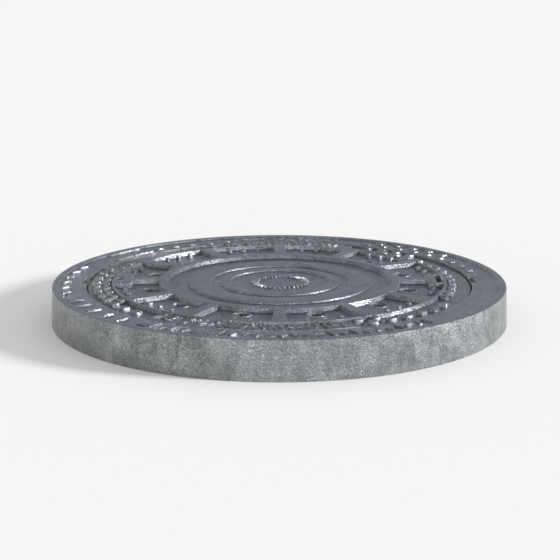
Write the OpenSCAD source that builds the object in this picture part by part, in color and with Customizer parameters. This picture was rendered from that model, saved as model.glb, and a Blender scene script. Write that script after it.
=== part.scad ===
// Ventilated manhole cover: a round lift-out lid that drops into a cast frame.
// An elastomer ring cushions the seat, and two swing latches under the lid turn
// beneath the seat to hold it down.
// Millimetres. +Z is up. The origin is the centre of the frame's base.

/* [Frame] */
// Outer diameter of the frame at its top face
frame_d = 800; // [796:1:820]
// Height of the frame, from its base to its top face
frame_h = 65; // [65:1:80]
// How much wider the side wall's radius is at the base
frame_draft = 2.8; // [0:0.2:4]
// Diameter of the clear opening below the lid
clear_d = 600; // [598:1:602]
// Thickness of the seat ledge that carries the lid
ledge_t = 10; // [8:1:12]
// Depth of the patterned field on the frame's top face
field_depth = 3; // [2:0.5:4]
// Number of places for gussets under the seat ledge
gusset_count = 36; // [36, 72]

/* [Lid] */
// Diameter of the lid
lid_d = 676; // [674:1:678]
// Gap between the lid and the frame
lid_gap = 3; // [2:0.5:3.5]
// Number of spokes, pockets and vent holes
spoke_count = 12; // [12]
// Diameter of a vent hole
vent_d = 28; // [20:1:30]
// Depth of the pockets between the spokes
pocket_depth = 8; // [6:0.5:9]
// Depth of the round recess in the middle of the lid
recess_depth = 7; // [5:0.5:8]
// Height of the raised rings in the middle of the lid
ring_h = 3; // [1.5:0.1:3]
// Depth of the toothed band round the lid's edge
band_depth = 7; // [5:0.5:7.5]
// Number of teeth in each row round the lid and the frame
tooth_count = 60; // [48, 60]

/* [Key slot and pry notches] */
// Length of the key slot, along the lid's edge
key_slot_l = 58; // [50:1:60]
// Width of the key slot and of the small key hole
key_slot_w = 10; // [8:1:11]
// Length of the small key hole opposite the key slot
key_hole_l = 22; // [16:1:30]
// Length of the pry notches in the frame's inner edge
notch_l = 45; // [30:1:60]
// How far the pry notches go into the frame
notch_w = 8; // [6:0.5:10]

/* [Latches] */
// Length of a latch from its pivot to its nose
latch_reach = 46; // [44:1:47]
// Width of a latch
latch_w = 22; // [21:1:24]
// Thickness of a latch
latch_t = 8.5; // [7:0.5:8.5]

/* [Hidden] */
$fn = 180;
over = 1;                                // how far a cut runs past a face

// frame
outer_r = frame_d / 2;
clear_r = clear_d / 2;
seat_r = lid_d / 2 + lid_gap;
seat_z = frame_h - 36;
ledge_z = seat_z - ledge_t;              // underside of the seat ledge
collar_t = 11;                           // wall round the lid
wall_t = 12;                             // outer side wall
edge_bevel = 1.2;
outer_rim_w = 11.5;
deck_t = 15;                             // plate between the collar and the side wall
gusset_t = 8;
field_z = frame_h - field_depth;

// where the relief lies, as ranges of degrees from +X
frame_inner_teeth = [[10, 62], [108, 134], [196, 226]];
frame_outer_teeth = [[28, 60], [196, 226]];
frame_wedges = [[156, 196]];
frame_marks = [[70, 106], [234, 312]];
lid_inner_teeth = [[-28, 52], [148, 229], [-66, -38]];
lid_outer_teeth = [[34, 62], [148, 229], [-68, -36]];
lid_platforms = [[64, 118], [231, 292]];
lid_marks = [[66, 116], [233, 290]];

// cushion
cushion_in = 312;
cushion_out = 332;
cushion_play = 0.3;
groove_z = seat_z - 4;
cushion_top = seat_z + 2;

// lid
lid_r = lid_d / 2;
lid_bottom = cushion_top + 0.1;
plate_z = frame_h - 19;                  // underside of the lid's plate
rim_in = 306;                            // inner radius of the lid's bearing rim
recess_r = 196.5;
plateau_in = 200;
plateau_out = 214.4;
pocket_out = 291;
pocket_z = frame_h - pocket_depth;
pocket_rim_w = 6;                        // raised ring between the pockets and the band
band_z = frame_h - band_depth;
recess_z = frame_h - recess_depth;
ring_z = recess_z + ring_h;
ring_bevel = 1.3;
spoke_w_in = 17;
spoke_w_out = 23;
vent_r = 232;
stud_r = 276;
stud_w = 7;
platform_z = frame_h - 3.5;              // raised parts of the band, which carry marks
coin_teeth = 36;
stud_step = 5.8;                         // degrees between neighbouring studs
rib_t = 9;
rib_z = frame_h - 43;                    // underside of the deep ribs
ring_rib_z = frame_h - 39;
hub_r = 40;

// key slot, key hole and the room below them for the key to turn in
key_r = 284;
key_room_r = 28;
key_pad_in = 262;
key_pad_w = 74;

// latches
pivot_x = 270;
pivot_y = 44;
boss_r = 16;
bush_r = 10;
bush_bore_r = 5.1;
bush_l = 9.5;
running_fit = 0.05;
latch_top = ledge_z - 0.5;
bush_bottom = ledge_z - bush_l;
washer_t = 2;
washer_r = 15;
bolt_r = 5;
bolt_l = 28;
head_h = 6.4;
head_r = 16 / sqrt(3);                   // 16 mm across the flats

iron = [0.36, 0.38, 0.41];
steel = [0.62, 0.63, 0.64];
rubber = [0.08, 0.08, 0.09];

// A plain ring between two radii and two heights
module ring(r_in, r_out, z_low, z_high) {
    translate([0, 0, z_low]) difference() {
        cylinder(r = r_out, h = z_high - z_low);
        translate([0, 0, -over]) cylinder(r = r_in, h = z_high - z_low + 2 * over);
    }
}

// A block along the +X radius, wider at its outer end, standing between two heights
module radial_block(r_in, r_out, w_in, w_out, z_low, z_high) {
    translate([0, 0, z_low]) linear_extrude(z_high - z_low)
        polygon([[r_in, -w_in / 2], [r_out, -w_out / 2], [r_out, w_out / 2], [r_in, w_in / 2]]);
}

// True if an angle between 0 and 360 degrees lies in one of the sectors
function in_sectors(angle, sectors) = len([
    for (s = sectors) if ((angle >= s[0] && angle <= s[1]) || (angle - 360 >= s[0] && angle - 360 <= s[1])) s
]) > 0;

// A row of teeth on a circle, as high as the top face, in the sectors only. fill is
// their share of the circle, and first turns the row by that share of a pitch.
module tooth_row(r_in, r_out, fill, z_low, sectors, first = 0) {
    pitch = 360 / tooth_count;
    for (i = [0 : tooth_count - 1])
        if (in_sectors((first + i) * pitch, sectors))
            rotate((first + i) * pitch)
                radial_block(r_in, r_out, fill * r_in * sin(pitch), fill * r_out * sin(pitch),
                             z_low - over, frame_h);
}

// One small relief mark: a diamond, a wedge or a slanted bar
module mark(kind, size) {
    h = size / 2;
    w = size * 0.36;
    if (kind == 0) polygon([[h, 0], [0, w], [-h, 0], [0, -w]]);
    if (kind == 1) polygon([[-h, -w], [h, -w], [h, w]]);
    if (kind == 2) polygon([[h, w], [-h, 0], [-h, -w], [h, 0]]);
}

// Marks on a circle, in the sectors only. kinds is the order in which they repeat.
module mark_row(r, size, count, z_low, z_high, sectors, kinds = [0, 1, 2]) {
    for (i = [0 : count - 1])
        if (in_sectors(i * 360 / count, sectors))
            rotate(i * 360 / count) translate([r, 0, z_low - over])
                linear_extrude(z_high - z_low + over) mark(kinds[i % len(kinds)], size);
}

// A low platform between two radii and two angles
module platform(r_in, r_out, sector, z_low, z_high) {
    step = 2;
    translate([0, 0, z_low - over]) linear_extrude(z_high - z_low + over)
        polygon(concat(
            [for (a = [sector[0] : step : sector[1]]) r_out * [cos(a), sin(a)]],
            [for (a = [sector[1] : -step : sector[0]]) r_in * [cos(a), sin(a)]]
        ));
}

// ---- frame -------------------------------------------------------------

module frame_section() {
    channel_in = seat_r + collar_t;
    channel_out = outer_r - wall_t;
    polygon([
        [clear_r, ledge_z], [clear_r, seat_z],
        [cushion_in - cushion_play, seat_z], [cushion_in - cushion_play, groove_z],
        [cushion_out + cushion_play, groove_z], [cushion_out + cushion_play, seat_z],
        [seat_r, seat_z], [seat_r, field_z - edge_bevel], [seat_r + edge_bevel, field_z],
        [outer_r - outer_rim_w - field_depth / 2, field_z], [outer_r - outer_rim_w, frame_h],
        [outer_r - edge_bevel, frame_h], [outer_r, frame_h - edge_bevel],
        [outer_r + frame_draft, 0], [channel_out, 0], [channel_out, frame_h - deck_t],
        [channel_in, frame_h - deck_t], [channel_in, ledge_z]
    ]);
}

// Gussets stand on the base, under the ledge and up into the channel. The one
// beside each latch is left out, so that the latch can swing under the ledge.
module gussets() {
    step = 360 / gusset_count;
    latch_gap = [1, 11];
    for (i = [0 : gusset_count - 1]) {
        angle = (i + 0.5) * step;
        side = angle % 180;
        if (side < latch_gap[0] || side > latch_gap[1])
            rotate(angle) {
                radial_block(clear_r + 5, outer_r - wall_t + over, gusset_t, gusset_t, 0, ledge_z + over);
                radial_block(seat_r + collar_t - over, outer_r - wall_t + over, gusset_t, gusset_t,
                             0, frame_h - deck_t + over);
            }
    }
}

// The notch on the left is deep enough for a bar. The one on the right is a shallow mark.
module pry_notches() {
    deep = 26;
    shallow = 8;
    rotate(180) radial_block(seat_r - over, seat_r + notch_w, notch_l, notch_l,
                             frame_h - deep, frame_h + over);
    radial_block(seat_r - over, seat_r + notch_w, notch_l, notch_l,
                 frame_h - shallow, frame_h + over);
}

module frame() {
    color(iron) difference() {
        union() {
            rotate_extrude() frame_section();
            gussets();
            tooth_row(350, 362, 0.46, field_z, frame_inner_teeth);
            tooth_row(370, 385, 0.46, field_z, frame_outer_teeth, 0.5);
            mark_row(378, 16, 60, field_z, frame_h, frame_wedges, [1]);
            mark_row(366, 21, 120, field_z, frame_h - 0.2, frame_marks);
            platform(344, 350, [136, 154], field_z, frame_h);
        }
        pry_notches();
    }
}

module seat_cushion() {
    color(rubber) ring(cushion_in, cushion_out, groove_z, cushion_top);
}

// ---- lid ---------------------------------------------------------------

// One raised ring with bevelled edges, as points of the lid's section
function ring_points(r_in, r_out) = [
    [r_out + ring_bevel, recess_z], [r_out, ring_z], [r_in, ring_z], [r_in - ring_bevel, recess_z]
];

module lid_section() {
    polygon(concat(
        [[0, plate_z], [rim_in - 2, plate_z], [rim_in, lid_bottom], [lid_r - 2, lid_bottom],
         [lid_r, lid_bottom + 2], [lid_r, band_z - edge_bevel], [lid_r - edge_bevel, band_z],
         [pocket_out + pocket_rim_w + 1, band_z], [pocket_out + pocket_rim_w, frame_h],
         [plateau_in, frame_h], [recess_r, recess_z]],
        ring_points(124, 162),
        ring_points(88, 105),
        [[0, recess_z]]
    ));
}

// The pockets are the ring between the plateau and the outer band, less the spokes
module pockets() {
    difference() {
        ring(plateau_out, pocket_out, pocket_z, frame_h + over);
        for (i = [0 : spoke_count - 1])
            rotate(i * 360 / spoke_count)
                radial_block(plateau_out - over, pocket_out + over, spoke_w_in, spoke_w_out,
                             pocket_z - over, frame_h + 2 * over);
        for (side = [0, 180])
            rotate(side) radial_block(key_pad_in, pocket_out + over, key_pad_w, key_pad_w,
                                      pocket_z - over, frame_h + 2 * over);
    }
}

module vents() {
    step = 360 / spoke_count;
    for (i = [0 : spoke_count - 1])
        rotate((i + 0.5) * step) translate([vent_r, 0, plate_z - over])
            cylinder(d = vent_d, h = frame_h - plate_z);
}

module studs() {
    step = 360 / spoke_count;
    for (i = [0 : spoke_count - 1], k = [-1 : 1])
        rotate((i + 0.5) * step + k * stud_step)
            radial_block(stud_r - stud_w / 2, stud_r + stud_w / 2, stud_w, stud_w,
                         pocket_z - over, frame_h - 0.5);
}

// A ring of small teeth round the middle of the recess
module coin_ring() {
    for (i = [0 : coin_teeth - 1])
        rotate(i * 360 / coin_teeth) radial_block(36, 48, 3.2, 4.2, recess_z - over, recess_z + 2.6);
}

module underside_ribs() {
    for (i = [0 : spoke_count - 1])
        rotate(i * 360 / spoke_count) {
            radial_block(hub_r - over, clear_r - 6, rib_t, rib_t, rib_z, plate_z + over);
            radial_block(hub_r - over, rim_in + over, rib_t, rib_t, lid_bottom + 2, plate_z + over);
        }
    for (r = [130, 205, 262])
        ring(r - rib_t / 2, r + rib_t / 2, ring_rib_z, plate_z + over);
    translate([0, 0, ring_rib_z]) cylinder(r = hub_r, h = plate_z - ring_rib_z + over);
}

module latch_bosses() {
    for (side = [0, 180])
        rotate(side) translate([pivot_x, pivot_y, ledge_z])
            cylinder(r = boss_r, h = plate_z - ledge_z + over);
}

module latch_bolt_bores() {
    for (side = [0, 180])
        rotate(side) translate([pivot_x, pivot_y, ledge_z - over])
            cylinder(r = bolt_r + running_fit, h = bolt_l - bush_l - washer_t + over + 2);
}

// Key slot on the right, small key hole on the left, and the room for a key under each
module key_openings() {
    radial_block(key_r - key_slot_w / 2, key_r + key_slot_w / 2, key_slot_l, key_slot_l,
                 plate_z - over, frame_h + over);
    rotate(180) radial_block(key_r - key_slot_w / 2, key_r + key_slot_w / 2, key_hole_l, key_hole_l,
                             plate_z - over, frame_h + over);
    for (side = [0, 180])
        rotate(side) translate([key_r, 0, rib_z - over])
            cylinder(r = key_room_r, h = plate_z - rib_z + over);
}

module lid() {
    color(iron) difference() {
        union() {
            difference() {
                rotate_extrude() lid_section();
                pockets();
            }
            studs();
            underside_ribs();
            latch_bosses();
            coin_ring();
            tooth_row(300, 312, 0.42, band_z, lid_inner_teeth);
            tooth_row(318, 331, 0.42, band_z, lid_outer_teeth, 0.5);
            for (sector = lid_platforms) platform(301, 334, sector, band_z, platform_z);
            mark_row(309, 9, 180, platform_z, frame_h - 0.8, lid_marks);
            mark_row(324, 13, 144, platform_z, frame_h - 0.6, lid_marks);
        }
        vents();
        latch_bolt_bores();
        key_openings();
    }
}

// ---- latches, drawn open at the right-hand pivot -------------------------

module at_latch(side) {
    rotate(side) translate([pivot_x, pivot_y, 0]) children();
}

module latch(side) {
    nose_hole_r = 5;
    color(steel) at_latch(side) translate([0, 0, latch_top - latch_t]) difference() {
        union() {
            cylinder(r = latch_w / 2 + 4, h = latch_t);
            translate([-latch_w / 2, -latch_reach, 0]) cube([latch_w, latch_reach, latch_t]);
        }
        translate([0, 0, -over]) cylinder(r = bush_r + running_fit, h = latch_t + 2 * over);
        translate([0, -latch_reach + 2 * nose_hole_r, -over])
            cylinder(r = nose_hole_r, h = latch_t + 2 * over);
    }
}

module latch_bush(side) {
    color(steel) at_latch(side) translate([0, 0, bush_bottom]) difference() {
        cylinder(r = bush_r, h = bush_l);
        translate([0, 0, -over]) cylinder(r = bush_bore_r, h = bush_l + 2 * over);
    }
}

module latch_washer(side) {
    color(steel) at_latch(side) translate([0, 0, bush_bottom - washer_t]) difference() {
        cylinder(r = washer_r, h = washer_t);
        translate([0, 0, -over]) cylinder(r = bush_bore_r, h = washer_t + 2 * over);
    }
}

module latch_bolt(side) {
    color(steel) at_latch(side) translate([0, 0, bush_bottom - washer_t - head_h]) {
        cylinder(r = head_r, h = head_h, $fn = 6);
        cylinder(r = bolt_r, h = head_h + bolt_l);
    }
}

frame();
seat_cushion();
lid();
latch(0);  // latch_right
latch(180);  // latch_left
latch_bush(0);  // latch_bush_right
latch_bush(180);  // latch_bush_left
latch_washer(0);  // latch_washer_right
latch_washer(180);  // latch_washer_left
latch_bolt(0);  // latch_bolt_right
latch_bolt(180);  // latch_bolt_left
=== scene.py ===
"""A round ventilated manhole cover in its cast frame, on a pale studio floor."""
import math
import random

import bpy
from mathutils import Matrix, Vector


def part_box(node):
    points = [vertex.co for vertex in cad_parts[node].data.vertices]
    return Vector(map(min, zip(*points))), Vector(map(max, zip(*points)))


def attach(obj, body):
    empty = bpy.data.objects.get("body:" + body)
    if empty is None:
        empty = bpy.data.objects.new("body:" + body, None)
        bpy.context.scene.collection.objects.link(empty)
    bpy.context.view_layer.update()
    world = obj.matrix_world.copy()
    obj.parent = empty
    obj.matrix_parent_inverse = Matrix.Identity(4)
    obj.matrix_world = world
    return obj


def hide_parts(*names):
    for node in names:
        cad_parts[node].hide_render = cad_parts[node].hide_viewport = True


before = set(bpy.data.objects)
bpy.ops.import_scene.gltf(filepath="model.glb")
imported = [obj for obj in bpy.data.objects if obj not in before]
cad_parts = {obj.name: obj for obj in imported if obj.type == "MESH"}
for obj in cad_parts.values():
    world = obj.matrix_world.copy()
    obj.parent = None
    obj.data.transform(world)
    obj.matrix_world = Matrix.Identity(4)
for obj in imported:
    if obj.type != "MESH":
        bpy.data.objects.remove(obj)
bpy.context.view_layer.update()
random.seed(7)

# ---- sizes, in metres, from the frame -------------------------------------
MM = 0.001
FRAME_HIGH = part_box("frame")[1]
LID_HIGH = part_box("lid")[1]
TOP = FRAME_HIGH[2]                     # the cover's top face
BASE_R = FRAME_HIGH[0]                  # the frame's radius at its foot
DRAFT = 2.8 * MM
OUTER_R = BASE_R - DRAFT                # the frame's radius at its top face
LID_R = LID_HIGH[0]
SEAT_R = LID_R + 3 * MM
CLEAR_R = 300 * MM
PLATEAU_IN, PLATEAU_OUT = 200 * MM, 214.4 * MM
POCKET_OUT = 291 * MM
BAND_Z = TOP - 7 * MM                   # toothed band round the lid's edge
PLATFORM_Z = TOP - 3.5 * MM             # raised parts of the band, which carry ornaments
POCKET_Z = TOP - 8 * MM
RECESS_Z = TOP - 7 * MM                 # dished middle of the lid
FIELD_Z = TOP - 3 * MM                  # patterned field of the frame
PLATE_Z = TOP - 19 * MM                 # underside of the lid's plate
DECK_Z = TOP - 15 * MM                  # underside of the frame's deck
LID_BOTTOM = 31.1 * MM
SEAT_Z = 29 * MM                        # the frame's seat, which carries the lid
LEDGE_Z = 19 * MM                       # underside of the seat's ledge
GROOVE_Z = 25 * MM                      # floor of the cushion's groove
GROOVE_IN, GROOVE_OUT = 311.7 * MM, 332.3 * MM
WALL_IN = 388 * MM                      # inner radius of the frame's side wall
COLLAR_OUT = 352 * MM                   # outer radius of the wall round the lid
RIB_TOP = 47 * MM                       # ribs end inside the lid's plate
SPOKES = 12
TEETH = 60
SPOKE_HALF_ANGLE = math.radians(2.27)
VENT_CIRCLE_R = 232 * MM
VENT_R = 14 * MM
KEY_R = 284 * MM
KEY_W = 10 * MM
PIVOT_X, PIVOT_Y = 270 * MM, 44 * MM    # axis of the right latch; the left one is opposite
SHARP_ANGLE = math.radians(32)

# where the relief lies round the cover, in degrees from +X towards the back
LID_INNER_TEETH = ((-28, 52), (148, 214), (-67, -59))
LID_OUTER_TEETH = ((34, 62), (160, 226), (-65, -32))
LID_PLATFORMS = ((64, 118), (231, 292))
FRAME_INNER_TEETH = ((10, 62), (108, 134))
FRAME_OUTER_TEETH = ((28, 60),)
FRAME_WEDGES = ((160, 199),)
FRAME_BARS = ((200, 228),)
FRAME_ORNAMENTS = ((70, 106), (234, 312))


# ---- camera, lights and floor ---------------------------------------------
def make_camera():
    """The photograph's view: low, from the front, with a long lens."""
    data = bpy.data.cameras.new("camera")
    data.sensor_width = 36
    data.lens = 81.2
    data.clip_end = 100
    camera = bpy.data.objects.new("camera", data)
    camera.location = (0.0013, -2.1974, 0.5793)
    camera.rotation_euler = (math.radians(90 - 13.248), 0, 0)
    bpy.context.collection.objects.link(camera)
    bpy.context.scene.camera = camera


def make_key():
    """A low key light from the right, soft enough to blur the shadow's edge."""
    data = bpy.data.lights.new("key_softbox", "SUN")
    data.energy = 3.1
    data.angle = math.radians(11)
    lamp = bpy.data.objects.new("key_softbox", data)
    lamp.rotation_euler = Vector((1, -0.16, math.tan(math.radians(21)))).to_track_quat("Z", "Y").to_euler()
    bpy.context.collection.objects.link(lamp)


def make_world(strength):
    world = bpy.data.worlds.new("studio")
    world.use_nodes = True
    background = world.node_tree.nodes["Background"]
    background.inputs["Color"].default_value = (1.0, 1.0, 1.0, 1)
    background.inputs["Strength"].default_value = strength
    bpy.context.scene.world = world


def make_floor():
    bpy.ops.mesh.primitive_plane_add(size=400)
    floor = bpy.context.object
    floor.name = "studio_floor"
    material = bpy.data.materials.new("studio_floor")
    material.use_nodes = True
    shader = material.node_tree.nodes["Principled BSDF"]
    shader.inputs["Base Color"].default_value = (0.9, 0.9, 0.9, 1)
    shader.inputs["Roughness"].default_value = 0.9
    shader.inputs["Specular IOR Level"].default_value = 0.0
    floor.data.materials.append(material)


# ---- mesh making ----------------------------------------------------------
def new_piece(name, points, faces):
    mesh = bpy.data.meshes.new(name)
    mesh.from_pydata(points, [], faces)
    mesh.validate()
    piece = bpy.data.objects.new(name, mesh)
    bpy.context.collection.objects.link(piece)
    return piece


def fillet(corners):
    """A closed outline from corners (x, y, radius), with each corner rounded."""
    outline = []
    steps = 3
    count = len(corners)
    for i, (x, y, radius) in enumerate(corners):
        here = Vector((x, y))
        back = Vector(corners[i - 1][:2]) - here
        ahead = Vector(corners[(i + 1) % count][:2]) - here
        if radius == 0:
            outline.append((x, y))
            continue
        turn = back.angle(ahead)
        reach = min(radius / math.tan(turn / 2), 0.45 * back.length, 0.45 * ahead.length)
        start, end = here + back.normalized() * reach, here + ahead.normalized() * reach
        for k in range(steps + 1):
            t = k / steps
            point = start * (1 - t) ** 2 + here * 2 * t * (1 - t) + end * t ** 2
            outline.append((point.x, point.y))
    return outline


def revolve(name, outline, segments):
    """A solid of revolution from a closed outline of (radius, height) points."""
    points, rings = [], []
    for r, z in outline:
        if r < 1e-6:
            rings.append([len(points)] * segments)
            points.append((0, 0, z))
            continue
        rings.append([len(points) + k for k in range(segments)])
        for k in range(segments):
            angle = 2 * math.pi * k / segments
            points.append((r * math.cos(angle), r * math.sin(angle), z))
    faces = []
    for a, b in zip(rings, rings[1:] + rings[:1]):
        if a[0] == a[-1] and b[0] == b[-1]:
            continue
        for k in range(segments):
            n = (k + 1) % segments
            face = [a[k], b[k], b[n], a[n]]
            faces.append([v for j, v in enumerate(face) if v not in face[:j]])
    return new_piece(name, points, faces)


class Blocks:
    """Many separate closed blocks in one mesh, to join to a body or cut from it."""

    def __init__(self):
        self.points, self.faces = [], []

    def stack(self, outline, levels):
        """One block: outline(grow) gives its (x, y) points, levels lists (z, grow) upwards."""
        first = len(self.points)
        count = len(outline(0))
        for z, grow in levels:
            self.points += [(x, y, z) for x, y in outline(grow)]
        for i in range(len(levels) - 1):
            low = first + i * count
            for k in range(count):
                n = (k + 1) % count
                self.faces.append((low + k, low + n, low + count + n, low + count + k))
        last = first + (len(levels) - 1) * count
        self.faces.append(tuple(range(first + count - 1, first - 1, -1)))
        self.faces.append(tuple(range(last, last + count)))

    def sector(self, r_in, r_out, middle, half_angle, levels, steps):
        """A block between two radii and two angles, in radians."""
        def outline(grow):
            inner, outer = r_in - grow, r_out + grow
            points = []
            for r, way in ((outer, 1), (inner, -1)):
                half = half_angle + grow / r
                for k in range(steps + 1):
                    angle = middle + way * half * (2 * k / steps - 1)
                    points.append((r * math.cos(angle), r * math.sin(angle)))
            return points
        self.stack(outline, levels)

    def round(self, x, y, radius, levels, steps=28):
        def outline(grow):
            return [((x + (radius + grow) * math.cos(a)), (y + (radius + grow) * math.sin(a)))
                    for a in (2 * math.pi * k / steps for k in range(steps))]
        self.stack(outline, levels)

    def box(self, centre_r, angle, half_r, half_t, levels, corner=0.0):
        """A block with straight sides, centred on a radius, with rounded corners."""
        steps = 3

        def outline(grow):
            a, b, c = half_r + grow, half_t + grow, max(corner + grow, 1e-5)
            points = []
            for k, (sx, sy) in enumerate(((1, 1), (-1, 1), (-1, -1), (1, -1))):
                for j in range(steps + 1):
                    turn = math.radians(90 * k + 90 * j / steps)
                    px = sx * (a - c) + c * math.cos(turn)
                    py = sy * (b - c) + c * math.sin(turn)
                    points.append((
                        (centre_r + px) * math.cos(angle) - py * math.sin(angle),
                        (centre_r + px) * math.sin(angle) + py * math.cos(angle)))
            return points
        self.stack(outline, levels)

    def polygon(self, centre_r, angle, corners, levels):
        """A convex block whose corners (outwards, sideways) lie round a point on a radius."""
        def outline(grow):
            points = []
            for out, side in corners:
                scale = 1 + grow / math.hypot(out, side)
                u, v = centre_r + out * scale, side * scale
                points.append((u * math.cos(angle) - v * math.sin(angle),
                               u * math.sin(angle) + v * math.cos(angle)))
            return points
        self.stack(outline, levels)

    def tooth_row(self, r_in, r_out, z_low, sectors, offset=0.0):
        """Cast teeth round a circle, each a little different, only within the sectors."""
        for i in range(TEETH):
            angle = turn(i, TEETH, offset)
            if within(angle, sectors):
                half_width = random.uniform(6.2, 7.4) * MM
                top = TOP - random.uniform(0, 0.5) * MM
                self.box((r_in + r_out) / 2, angle + random.uniform(-0.002, 0.002),
                         (r_out - r_in) / 2, half_width,
                         raised(z_low, top, 0.26, random.uniform(0.6, 1.0) * MM), corner=2.0 * MM)

    def wedge_row(self, r, size, z_low, sectors):
        """Three-cornered blocks, each with its long side turned to the front right."""
        for i in range(TEETH):
            angle = turn(i, TEETH, 0.5)
            if within(angle, sectors):
                facing = math.radians(-46) - angle
                ahead = Vector((math.cos(facing), math.sin(facing))) * size * 0.26
                aside = ahead.orthogonal().normalized() * size / 2
                corners = [ahead + aside, ahead - aside, -1.6 * ahead]
                if (corners[1] - corners[0]).cross(corners[2] - corners[1]) < 0:
                    corners.reverse()
                self.polygon(r, angle, corners, raised(z_low, TOP, 0.4, 0.5 * MM))

    def bar_row(self, r, half_length, half_width, count, levels, sectors):
        for i in range(count):
            if within(turn(i, count), sectors):
                self.box(r, turn(i, count), half_length, half_width, levels, corner=1 * MM)

    def ornament_row(self, r, size, z_low, z_high, sectors, pitch):
        """A row of small diamonds, slanted bars, wedges and studs."""
        h, w, t = size / 2, size * 0.36, size * 0.13
        shapes = [
            [(h, 0), (0, w), (-h, 0), (0, -w)],
            [(h, t + w / 2), (-h, t - w / 2), (-h, -t - w / 2), (h, -t + w / 2)],
            [(-h, w), (-h, -w), (h, 0)],
            [(h, t - w / 2), (-h, t + w / 2), (-h, -t + w / 2), (h, -t - w / 2)],
            [(t, w), (-t, w), (-t, -w), (t, -w)],
            [(h, w), (-h, 0), (h, -w)],
        ]
        count = round(2 * math.pi * r / pitch)
        for i in range(count):
            angle = turn(i, count)
            if within(angle, sectors):
                corners = shapes[random.randrange(len(shapes))]
                self.polygon(r, angle, corners, raised(z_low, z_high, 0.15, 0.6 * MM))

    def piece(self):
        return new_piece("blocks", self.points, self.faces)


def combine(body, tool, operation):
    """Joins the tool to the body, or cuts it from it, and keeps only the result."""
    change = body.modifiers.new("combine", "BOOLEAN")
    change.operation = operation
    change.solver = "MANIFOLD"
    change.object = tool
    depsgraph = bpy.context.evaluated_depsgraph_get()
    mesh = bpy.data.meshes.new_from_object(body.evaluated_get(depsgraph))
    body.modifiers.clear()
    old = body.data
    body.data = mesh
    bpy.data.meshes.remove(old)
    bpy.data.objects.remove(tool)


def shade(piece):
    piece.data.shade_smooth()
    piece.data.set_sharp_from_angle(angle=SHARP_ANGLE)


def raised(z_low, z_high, draft, edge=0.8 * MM):
    """Levels of a raised block: a drafted wall and a rounded top edge."""
    lean = draft * (z_high - z_low)
    return [(z_low - 1 * MM, lean), (z_low, lean), (z_high - edge, 0.0),
            (z_high - 0.3 * edge, -0.3 * edge), (z_high, -edge)]


def sunk(z_floor, z_top, draft=0.1):
    """Levels of a cut: a filleted floor, a drafted wall and a rounded rim."""
    fillet_r, edge = 1.5 * MM, 0.8 * MM
    lean = draft * (z_top - z_floor)
    return [(z_floor, -fillet_r), (z_floor + 0.3 * fillet_r, -0.3 * fillet_r), (z_floor + fillet_r, 0.0),
            (z_top - edge, lean), (z_top - 0.3 * edge, lean + 0.3 * edge), (z_top, lean + edge),
            (z_top + 2 * MM, lean + 3 * edge)]


def turn(i, count, offset=0.0):
    """The angle, in radians, of place i of count round the circle."""
    return 2 * math.pi * (i + offset) / count


def within(angle, sectors):
    """True if the angle, in radians, is in one of the sectors, given in degrees."""
    degrees = math.degrees(angle) % 360
    return any(low <= degrees <= high or low <= degrees - 360 <= high for low, high in sectors)


# ---- lid --------------------------------------------------------------------
def vent_place(i):
    angle = turn(i, SPOKES, 0.5)
    return VENT_CIRCLE_R * math.cos(angle), VENT_CIRCLE_R * math.sin(angle)


def lid_body():
    ring_top = RECESS_Z + 3 * MM
    soft = 0.8 * MM
    corners = [(0, PLATE_Z, 0), (304 * MM, PLATE_Z, 3 * MM), (306 * MM, LID_BOTTOM, 2 * MM),
               (LID_R, LID_BOTTOM, 2 * MM), (LID_R, BAND_Z, 1.2 * MM),
               (POCKET_OUT + 7 * MM, BAND_Z, 1 * MM), (POCKET_OUT + 6 * MM, TOP, 0.8 * MM),
               (PLATEAU_IN, TOP, 0.8 * MM), (PLATEAU_IN - 3.5 * MM, RECESS_Z, 1 * MM)]
    for r_in, r_out in ((124, 162), (88, 105)):
        corners += [((r_out + 1.3) * MM, RECESS_Z, soft), (r_out * MM, ring_top, soft),
                    (r_in * MM, ring_top, soft), ((r_in - 1.3) * MM, RECESS_Z, soft)]
    corners.append((0, RECESS_Z, 0))
    return revolve("cast_lid", fillet(corners), 360)


def cut_lid(lid):
    cuts = Blocks()
    half_pocket = math.pi / SPOKES - SPOKE_HALF_ANGLE
    for i in range(SPOKES):
        middle = turn(i, SPOKES, 0.5)
        cuts.sector(PLATEAU_OUT, POCKET_OUT, middle, half_pocket - 0.003, sunk(POCKET_Z, TOP), steps=24)
    combine(lid, cuts.piece(), "DIFFERENCE")


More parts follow.
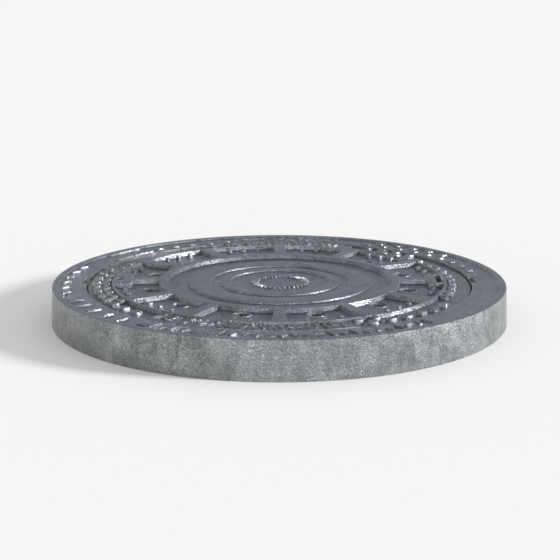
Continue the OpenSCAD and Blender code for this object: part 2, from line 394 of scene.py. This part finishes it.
def lid_relief(lid):
    blocks = Blocks()
    for side in (0, math.pi):
        blocks.box(277 * MM, side, 15 * MM, 37 * MM, raised(POCKET_Z, TOP, 0.1), corner=2 * MM)
    for i in range(SPOKES):
        for k in (-1, 0, 1):
            angle = turn(i, SPOKES, 0.5) + k * math.radians(5.8)
            blocks.box(276 * MM, angle, 3.6 * MM, 3.2 * MM, raised(POCKET_Z, TOP - 0.3 * MM, 0.06, 0.7 * MM))
    blocks.tooth_row(300 * MM, 312 * MM, BAND_Z, LID_INNER_TEETH)
    blocks.tooth_row(317.5 * MM, 331 * MM, BAND_Z, LID_OUTER_TEETH, 0.5)
    for low, high in LID_PLATFORMS:
        blocks.sector(301 * MM, 334 * MM, math.radians(low + high) / 2, math.radians(high - low) / 2,
                      raised(BAND_Z, PLATFORM_Z, 0.2, 1 * MM), steps=48)
    # the coin in the middle of the lid
    blocks.bar_row(45 * MM, 7 * MM, 1.7 * MM, 36, raised(RECESS_Z, RECESS_Z + 3 * MM, 0.25, 0.6 * MM),
                   ((0, 360),))
    for i in range(SPOKES):
        x, y = vent_place(i)
        blocks.round(x, y, 17 * MM, raised(POCKET_Z, POCKET_Z + 1.3 * MM, 0.6, 0.8 * MM))
    combine(lid, blocks.piece(), "UNION")
    signs = Blocks()
    inside = [(low + 2, high - 2) for low, high in LID_PLATFORMS]
    signs.ornament_row(309 * MM, 9 * MM, PLATFORM_Z, TOP - 0.8 * MM, inside, 11 * MM)
    signs.ornament_row(324 * MM, 13 * MM, PLATFORM_Z, TOP - 0.6 * MM, inside, 14 * MM)
    combine(lid, signs.piece(), "UNION")


def lid_underside(lid):
    """Radial ribs, ring ribs, hub and latch bosses."""
    ribs = Blocks()
    for i in range(SPOKES):
        angle = turn(i, SPOKES)
        ribs.box(167 * MM, angle, 127 * MM, 4 * MM, [(22 * MM, -0.8 * MM), (23 * MM, 0), (RIB_TOP, 0.8 * MM)])
        ribs.box(173 * MM, angle, 134 * MM, 4 * MM, [(33.1 * MM, 0), (RIB_TOP, 0.6 * MM)])
    for side in (1, -1):
        ribs.round(side * PIVOT_X, side * PIVOT_Y, 16 * MM,
                   [(19 * MM, -0.5 * MM), (19.5 * MM, 0), (RIB_TOP, 1 * MM)])
    ribs.round(0, 0, 40 * MM, [(26 * MM, -1 * MM), (27 * MM, 0), (RIB_TOP, 1.5 * MM)], steps=64)
    combine(lid, ribs.piece(), "UNION")
    for r in (130, 205, 262):
        ring = revolve("ring", fillet([((r - 4) * MM, 26 * MM, 1 * MM), ((r + 4) * MM, 26 * MM, 1 * MM),
                                       ((r + 5) * MM, RIB_TOP, 0), ((r - 5) * MM, RIB_TOP, 0)]), 180)
        combine(lid, ring, "UNION")


def lid_holes(lid):
    """Vent holes, key slot, key hole, the room under them and the latch bolts' bores."""
    holes = Blocks()
    through = [(PLATE_Z - 30 * MM, 0), (POCKET_Z - 2 * MM, 0.2 * MM), (POCKET_Z + 3 * MM, 1.2 * MM),
               (TOP + 2 * MM, 2 * MM)]
    for i in range(SPOKES):
        holes.round(*vent_place(i), VENT_R, through, steps=40)
    slot_levels = [(PLATE_Z - 2 * MM, 0), (TOP - 1 * MM, 0), (TOP - 0.3 * MM, 0.3 * MM), (TOP, 1 * MM),
                   (TOP + 1 * MM, 2 * MM)]
    holes.box(KEY_R, 0, KEY_W / 2, 29 * MM, slot_levels, corner=3 * MM)
    holes.box(KEY_R, math.pi, KEY_W / 2, 11 * MM, slot_levels, corner=3 * MM)
    for side in (1, -1):
        holes.round(side * PIVOT_X, side * PIVOT_Y, 5.05 * MM, [(18 * MM, 0), (38 * MM, 0)], steps=24)
    combine(lid, holes.piece(), "DIFFERENCE")
    rooms = Blocks()
    for side in (1, -1):
        rooms.round(side * KEY_R, 0, 28 * MM,
                    [(21 * MM, 0), (PLATE_Z - 1 * MM, 0), (PLATE_Z, -1 * MM)], steps=48)
    combine(lid, rooms.piece(), "DIFFERENCE")


def make_lid():
    lid = lid_body()
    cut_lid(lid)
    lid_relief(lid)
    lid_underside(lid)
    lid_holes(lid)
    shade(lid)
    return lid


# ---- frame ------------------------------------------------------------------
def frame_body():
    rim = 11.5 * MM
    corners = [(CLEAR_R, LEDGE_Z, 1 * MM), (CLEAR_R, SEAT_Z, 1 * MM), (GROOVE_IN, SEAT_Z, 0.3 * MM),
               (GROOVE_IN, GROOVE_Z, 0), (GROOVE_OUT, GROOVE_Z, 0), (GROOVE_OUT, SEAT_Z, 0.3 * MM),
               (SEAT_R, SEAT_Z, 0.6 * MM), (SEAT_R, FIELD_Z, 1.2 * MM),
               (OUTER_R - rim - 1.5 * MM, FIELD_Z, 1 * MM), (OUTER_R - rim, TOP, 1 * MM),
               (OUTER_R, TOP, 1.5 * MM), (BASE_R, 0, 1 * MM), (WALL_IN, 0, 1.5 * MM),
               (WALL_IN, DECK_Z, 5 * MM), (COLLAR_OUT, DECK_Z, 5 * MM), (COLLAR_OUT, LEDGE_Z, 2 * MM)]
    return revolve("cast_frame", fillet(corners), 400)


def frame_relief(ring):
    blocks = Blocks()
    blocks.tooth_row(350 * MM, 362 * MM, FIELD_Z, FRAME_INNER_TEETH)
    blocks.tooth_row(370 * MM, 385 * MM, FIELD_Z, FRAME_OUTER_TEETH, 0.5)
    blocks.wedge_row(378 * MM, 15 * MM, FIELD_Z, FRAME_WEDGES)
    blocks.bar_row(372 * MM, 13 * MM, 3.6 * MM, TEETH, raised(FIELD_Z, TOP, 0.45, 0.6 * MM), FRAME_BARS)
    blocks.ornament_row(366 * MM, 21 * MM, FIELD_Z, TOP - 0.2 * MM, FRAME_ORNAMENTS, 19 * MM)
    # two plain arcs on the left of the frame, at its inner and outer edge
    for r_in, r_out, low, high in ((344, 350, 136, 153), (381, 385, 137, 149)):
        blocks.sector(r_in * MM, r_out * MM, math.radians(low + high) / 2, math.radians(high - low) / 2,
                      raised(FIELD_Z, TOP, 0.15), steps=16)
    combine(ring, blocks.piece(), "UNION")


def frame_gussets(ring):
    gussets = Blocks()
    for i in range(36):
        angle = turn(i, 36, 0.5)
        if within(angle, ((1, 11), (181, 191))):  # the shut latches lie here
            continue
        gussets.box(329 * MM, angle, 24 * MM, 4 * MM,
                    [(0.1 * MM, -0.6 * MM), (1 * MM, 0), (20 * MM, 0.5 * MM)])
        gussets.box(370.5 * MM, angle, 19 * MM, 4.1 * MM,
                    [(0.2 * MM, -0.6 * MM), (1.1 * MM, 0), (TOP - 14 * MM, 0.8 * MM)])
    combine(ring, gussets.piece(), "UNION")


def frame_notches(ring):
    cuts = Blocks()
    cuts.box(SEAT_R + 3 * MM, math.pi, 5 * MM, 22.5 * MM, sunk(TOP - 26 * MM, FIELD_Z, 0.02), corner=3 * MM)
    cuts.box(SEAT_R + 3 * MM, 0, 5 * MM, 22.5 * MM, sunk(TOP - 8 * MM, FIELD_Z, 0.02), corner=3 * MM)
    combine(ring, cuts.piece(), "DIFFERENCE")


def make_frame():
    ring = frame_body()
    frame_relief(ring)
    frame_gussets(ring)
    frame_notches(ring)
    shade(ring)
    return ring


# ---- materials --------------------------------------------------------------
class Shader:
    """A small helper that wires one procedural material."""

    def __init__(self, name):
        self.material = bpy.data.materials.new(name)
        self.material.use_nodes = True
        self.tree = self.material.node_tree
        self.surface = self.tree.nodes["Principled BSDF"]
        self.place = self.node("ShaderNodeTexCoord").outputs["Object"]

    def node(self, kind, **values):
        node = self.tree.nodes.new(kind)
        for key, value in values.items():
            setattr(node, key, value)
        return node

    def link(self, source, target):
        self.tree.links.new(source, target)

    def noise(self, scale, detail=4, roughness=0.6, stretch=(1, 1, 1)):
        mapping = self.node("ShaderNodeMapping")
        mapping.inputs["Scale"].default_value = stretch
        self.link(self.place, mapping.inputs["Vector"])
        noise = self.node("ShaderNodeTexNoise")
        noise.inputs["Scale"].default_value = scale
        noise.inputs["Detail"].default_value = detail
        noise.inputs["Roughness"].default_value = roughness
        self.link(mapping.outputs["Vector"], noise.inputs["Vector"])
        return noise.outputs["Fac"]

    def ramp(self, factor, stops):
        ramp = self.node("ShaderNodeValToRGB")
        elements = ramp.color_ramp.elements
        while len(elements) < len(stops):
            elements.new(0.5)
        for element, (position, colour) in zip(elements, stops):
            element.position = position
            element.color = (*colour, 1)
        self.link(factor, ramp.inputs["Fac"])
        return ramp.outputs["Color"]

    def span(self, value, low, high, out_low=0.0, out_high=1.0):
        span = self.node("ShaderNodeMapRange")
        span.interpolation_type = "SMOOTHSTEP"
        span.inputs["From Min"].default_value = low
        span.inputs["From Max"].default_value = high
        span.inputs["To Min"].default_value = out_low
        span.inputs["To Max"].default_value = out_high
        self.link(value, span.inputs["Value"])
        return span.outputs["Result"]

    def maths(self, operation, a, b):
        node = self.node("ShaderNodeMath", operation=operation)
        for socket, value in zip(node.inputs, (a, b)):
            if isinstance(value, (int, float)):
                socket.default_value = value
            else:
                self.link(value, socket)
        return node.outputs[0]

    def mix(self, factor, a, b, blend="MIX"):
        node = self.node("ShaderNodeMix", data_type="RGBA", blend_type=blend)
        for socket, value in ((node.inputs[0], factor), (node.inputs[6], a), (node.inputs[7], b)):
            if isinstance(value, (int, float)):
                socket.default_value = value
            elif isinstance(value, tuple):
                socket.default_value = (*value, 1)
            else:
                self.link(value, socket)
        return node.outputs[2]

    def bump(self, height, strength, distance):
        node = self.node("ShaderNodeBump")
        node.inputs["Strength"].default_value = strength
        node.inputs["Distance"].default_value = distance
        self.link(height, node.inputs["Height"])
        return node.outputs["Normal"]


def cast_iron(name, top_shaded_tint, side_lit_tint):
    """Bare cast iron: sandy skin, mottled oxide, brighter worn edges that are partly a painted highlight, and
    faces turned up painted darker and bluer than the walls as painted shade.
    """
    s = Shader(name)
    geometry = s.node("ShaderNodeNewGeometry")
    upright = s.node("ShaderNodeSeparateXYZ")
    s.link(s.node("ShaderNodeTexCoord").outputs["Normal"], upright.inputs[0])
    # faces turned up get a darker, bluer colour than the walls: painted shade on the tops and a lit colour on
    # the walls
    facing_up = s.span(upright.outputs["Z"], 0.2, 0.8)
    tint = s.mix(facing_up, side_lit_tint, top_shaded_tint)
    # oxide in patches, and in runs down the side wall
    patches = s.ramp(s.noise(22, detail=10, roughness=0.7),
                     [(0.36, (0.86,) * 3), (0.5, (1.0,) * 3), (0.64, (1.16,) * 3)])
    runs = s.ramp(s.noise(70, detail=6, roughness=0.65, stretch=(1, 1, 0.3)),
                  [(0.36, (0.84,) * 3), (0.64, (1.15,) * 3)])
    specks = s.ramp(s.noise(430, detail=3, roughness=0.7), [(0.38, (0.66,) * 3), (0.62, (1.28,) * 3)])
    colour = tint
    for layer in (patches, runs, specks):
        colour = s.mix(1.0, colour, layer, "MULTIPLY")
    # edges rubbed bright by wheels and feet, partly real wear and partly a painted highlight along every edge
    bevel = s.node("ShaderNodeBevel", samples=4)
    bevel.inputs["Radius"].default_value = 1.6 * MM
    edge = s.node("ShaderNodeVectorMath", operation="DOT_PRODUCT")
    s.link(bevel.outputs["Normal"], edge.inputs[0])
    s.link(geometry.outputs["Normal"], edge.inputs[1])
    edge_wear_and_highlight = s.maths("MULTIPLY", s.span(edge.outputs["Value"], 0.995, 0.86), s.span(s.noise(140, 5), 0.35, 0.6))
    colour = s.mix(s.maths("MULTIPLY", edge_wear_and_highlight, 0.5), colour, (0.6, 0.61, 0.62))
    s.link(colour, s.surface.inputs["Base Color"])
    s.surface.inputs["Metallic"].default_value = 1.0
    s.link(s.span(s.noise(260, detail=6, roughness=0.75), 0.38, 0.62, 0.26, 0.48),
           s.surface.inputs["Roughness"])
    # a sandy skin everywhere, and patches of raised crust, thickest on the walls
    sand = s.maths("MULTIPLY", s.noise(520, detail=3, roughness=0.6), 0.3)
    grains = s.noise(210, detail=5, roughness=0.65, stretch=(1, 1, 1.7))
    crust = s.maths("MULTIPLY", s.span(grains, 0.48, 0.6),
                    s.span(s.noise(30, detail=3), 0.42, 0.58, 0.25, 1.0))
    crust = s.maths("MULTIPLY", crust, s.span(facing_up, 0, 1, 1.5, 0.8))
    s.link(s.bump(s.maths("ADD", sand, crust), 0.9, 0.8 * MM), s.surface.inputs["Normal"])
    return s.material


def plain_metal(name, tint, rough):
    s = Shader(name)
    mottle = s.noise(90, detail=5)
    colour = s.ramp(mottle, [(0.3, tuple(c * 0.8 for c in tint)), (0.7, tint)])
    s.link(colour, s.surface.inputs["Base Color"])
    s.surface.inputs["Metallic"].default_value = 1.0
    s.link(s.span(s.noise(300), 0.3, 0.7, rough - 0.08, rough + 0.08), s.surface.inputs["Roughness"])
    s.link(s.bump(s.noise(500), 0.2, 0.0003), s.surface.inputs["Normal"])
    return s.material


def rubber(name):
    s = Shader(name)
    colour = s.ramp(s.noise(60), [(0.3, (0.012, 0.012, 0.013)), (0.7, (0.03, 0.03, 0.031))])
    s.link(colour, s.surface.inputs["Base Color"])
    s.link(s.span(s.noise(200), 0.3, 0.7, 0.6, 0.8), s.surface.inputs["Roughness"])
    s.link(s.bump(s.noise(700), 0.15, 0.0003), s.surface.inputs["Normal"])
    return s.material


def dress(piece, material):
    piece.data.materials.clear()
    piece.data.materials.append(material)
    for face in piece.data.polygons:
        face.material_index = 0


# ---- putting it together -----------------------------------------------------
bpy.context.scene.view_settings.view_transform = "Standard"
make_camera()
make_world(0.675)
make_key()
make_floor()

cast_lid = make_lid()
# first colour: painted shade for the faces turned up; second colour: lit colour for the walls
dress(cast_lid, cast_iron("lid_cast_iron", (0.125, 0.148, 0.188), (0.33, 0.345, 0.365)))
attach(cast_lid, "lid_set")
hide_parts("lid")

cast_frame = make_frame()
# first colour: painted shade for the faces turned up; second colour: lit colour for the walls
dress(cast_frame, cast_iron("frame_cast_iron", (0.146, 0.172, 0.212), (0.33, 0.342, 0.35)))
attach(cast_frame, "frame_ring")
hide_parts("frame")

dress(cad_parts["seat_cushion"], rubber("seat_rubber"))
galvanised = plain_metal("galvanised_steel", (0.55, 0.56, 0.57), 0.42)
stainless = plain_metal("stainless_steel", (0.62, 0.61, 0.6), 0.3)
for end in ("right", "left"):
    dress(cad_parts[f"latch_{end}"], galvanised)
    for part in ("bush", "washer", "bolt"):
        dress(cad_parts[f"latch_{part}_{end}"], stainless)
